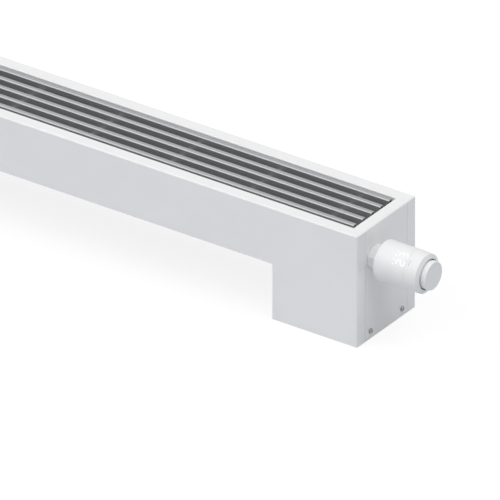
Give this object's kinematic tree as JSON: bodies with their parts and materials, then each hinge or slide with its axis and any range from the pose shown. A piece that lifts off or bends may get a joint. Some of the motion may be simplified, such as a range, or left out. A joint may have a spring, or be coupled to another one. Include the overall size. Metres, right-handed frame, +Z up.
{
  "type": "floor convector",
  "caption": "Low, long floor convector on two end boxes, with a linear bar grille over a finned copper exchanger and a thermostatic head on one end.",
  "frame": {"origin": "middle of the four floor fixing holes, on the floor", "axes": "+X along the casing towards the thermostatic head, -Y the front, +Z up"},
  "size_m": [1.0932, 0.13, 0.16],
  "materials": {
    "white_powder_coat": "white semi-gloss powder coat on steel sheet",
    "anodised_bars": "silver anodised extrusion, fine satin",
    "zinc_steel": "bright zinc plate",
    "epdm_rubber": "matt black rubber",
    "fin_aluminium": "mill-finish aluminium sheet",
    "drawn_copper": "drawn copper tube, lightly tarnished",
    "machined_brass": "turned brass",
    "nickel_plated_brass": "satin nickel plate on brass",
    "fibre_gasket": "fibre sealing washer",
    "white_shell_plastic": "white moulded ABS with a fine satin texture",
    "grey_inner_plastic": "grey moulded acetal",
    "circuit_laminate": "green circuit board",
    "cell_jacket": "printed steel jacket, plain"
  },
  "bodies": {
    "root": {"casing_front_panel": "white_powder_coat", "casing_back_panel": "white_powder_coat", "end_panel_right": "white_powder_coat", "end_panel_left": "white_powder_coat", "floor_bracket_right": "white_powder_coat", "floor_bracket_left": "white_powder_coat", "end_panel_screws": "zinc_steel", "grille_pads": "epdm_rubber", "cross_stays": "zinc_steel", "tube_grommets": "epdm_rubber", "fin_pack": "fin_aluminium", "copper_tube_supply": "drawn_copper", "copper_tube_return": "drawn_copper", "return_bend": "drawn_copper", "supply_tail": "machined_brass", "supply_tail_nut": "machined_brass", "return_tail": "machined_brass", "return_tail_nut": "machined_brass", "tail_gaskets": "fibre_gasket", "supply_valve_body": "nickel_plated_brass", "valve_insert": "nickel_plated_brass", "valve_spring": "zinc_steel", "stem_seal": "epdm_rubber", "return_valve_body": "nickel_plated_brass", "lockshield_bonnet": "nickel_plated_brass", "lockshield_cap": "white_shell_plastic", "air_vent": "nickel_plated_brass", "head_base": "grey_inner_plastic", "head_sleeve": "white_shell_plastic", "head_front_ring": "white_shell_plastic", "knob_spring": "zinc_steel", "knob_encoder": "grey_inner_plastic", "control_board": "circuit_laminate", "display_board": "grey_inner_plastic", "batteries": "cell_jacket", "battery_contacts": "zinc_steel", "drive_frame": "grey_inner_plastic", "drive_motor": "zinc_steel"},
    "grille": {"grille_bars": "anodised_bars", "grille_cross_rods": "zinc_steel", "grille_spacers": "anodised_bars"},
    "nut": {"union_nut": "white_shell_plastic"},
    "stem": {"valve_stem": "zinc_steel", "valve_disc": "epdm_rubber"},
    "gear": {"drive_gear": "grey_inner_plastic"},
    "pinion": {"drive_pinion": "machined_brass"},
    "pusher": {"pusher": "grey_inner_plastic"},
    "carrier": {"knob_carrier": "grey_inner_plastic"},
    "knob": {"control_knob": "white_shell_plastic"},
    "lockshield": {"lockshield_spindle": "machined_brass"},
    "bleed": {"bleed_screw": "machined_brass"}
  },
  "joints": [
    {"name": "grille_lift", "type": "slide", "parent": "root", "child": "grille", "axis": [0, 0, 1], "range_m": [0, 0.06]},
    {"name": "union_nut_turn", "type": "hinge", "parent": "root", "child": "nut", "pos_m": [0.5, -0.027, 0.1155], "axis": [1, 0, 0], "continuous": true},
    {"name": "drive_gear_turn", "type": "hinge", "parent": "root", "child": "gear", "pos_m": [0.5, -0.027, 0.1155], "axis": [1, 0, 0], "range_deg": [0, 720]},
    {"name": "drive_pinion_turn", "type": "hinge", "parent": "root", "child": "pinion", "pos_m": [0.5, -0.02428, 0.12564], "axis": [1, 0, 0], "range_deg": [-1440, 0]},
    {"name": "pusher_slide", "type": "slide", "parent": "root", "child": "pusher", "axis": [-1, 0, 0], "range_m": [0, 0.002]},
    {"name": "valve_stem_slide", "type": "slide", "parent": "root", "child": "stem", "axis": [-1, 0, 0], "range_m": [0, 0.002], "deforming": ["valve_spring"]},
    {"name": "knob_press", "type": "slide", "parent": "root", "child": "carrier", "axis": [-1, 0, 0], "range_m": [0, 0.0012], "stiffness_N_per_m": 500, "springref_m": -0.002, "deforming": ["knob_spring"]},
    {"name": "knob_turn", "type": "hinge", "parent": "carrier", "child": "knob", "pos_m": [0.5, -0.027, 0.1155], "axis": [1, 0, 0], "continuous": true},
    {"name": "lockshield_turn", "type": "hinge", "parent": "root", "child": "lockshield", "pos_m": [0.45, 0.027, 0.1155], "axis": [1, 0, 0], "range_deg": [0, 1080]},
    {"name": "bleed_screw_turn", "type": "hinge", "parent": "root", "child": "bleed", "pos_m": [0.389, 0.027, 0.1395], "axis": [0, 0, 1], "range_deg": [0, 540]}
  ],
  "couplings": [
    {"joint": "drive_gear_turn", "follows": "pusher_slide", "rad_per_m": 6283.2},
    {"joint": "drive_pinion_turn", "follows": "pusher_slide", "rad_per_m": -12566},
    {"joint": "valve_stem_slide", "follows": "pusher_slide", "ratio": 1}
  ]
}
